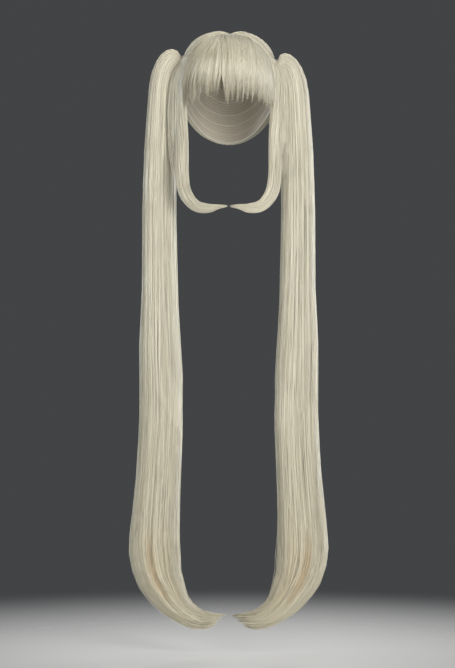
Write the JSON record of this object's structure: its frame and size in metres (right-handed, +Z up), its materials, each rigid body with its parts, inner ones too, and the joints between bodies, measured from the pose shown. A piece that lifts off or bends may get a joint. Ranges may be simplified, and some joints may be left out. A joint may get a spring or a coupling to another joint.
{
  "type": "pigtail wig",
  "caption": "Long pale wig on a net cap: centre parting, full fringe, face-framing side locks and two high pigtails that curl inwards at the ends.",
  "frame": {"origin": "inside top of the net cap, where the crown of the wearer's head touches it", "axes": "+Z up along the hanging pigtails, -Y the way the wearer faces, +X to the right as seen from in front of the wearer"},
  "size_m": [0.3401, 0.2079, 1.016],
  "materials": {
    "hair": "satin",
    "net": "matte",
    "elastic": "matte"
  },
  "bodies": {
    "root": {"net_cap": "net", "fringe": "hair", "crown_left": "hair", "crown_right": "hair", "side_lock_left": "hair", "side_lock_right": "hair", "tie_left": "elastic", "tie_right": "elastic", "pigtail_left": "hair", "pigtail_right": "hair"}
  },
  "joints": []
}
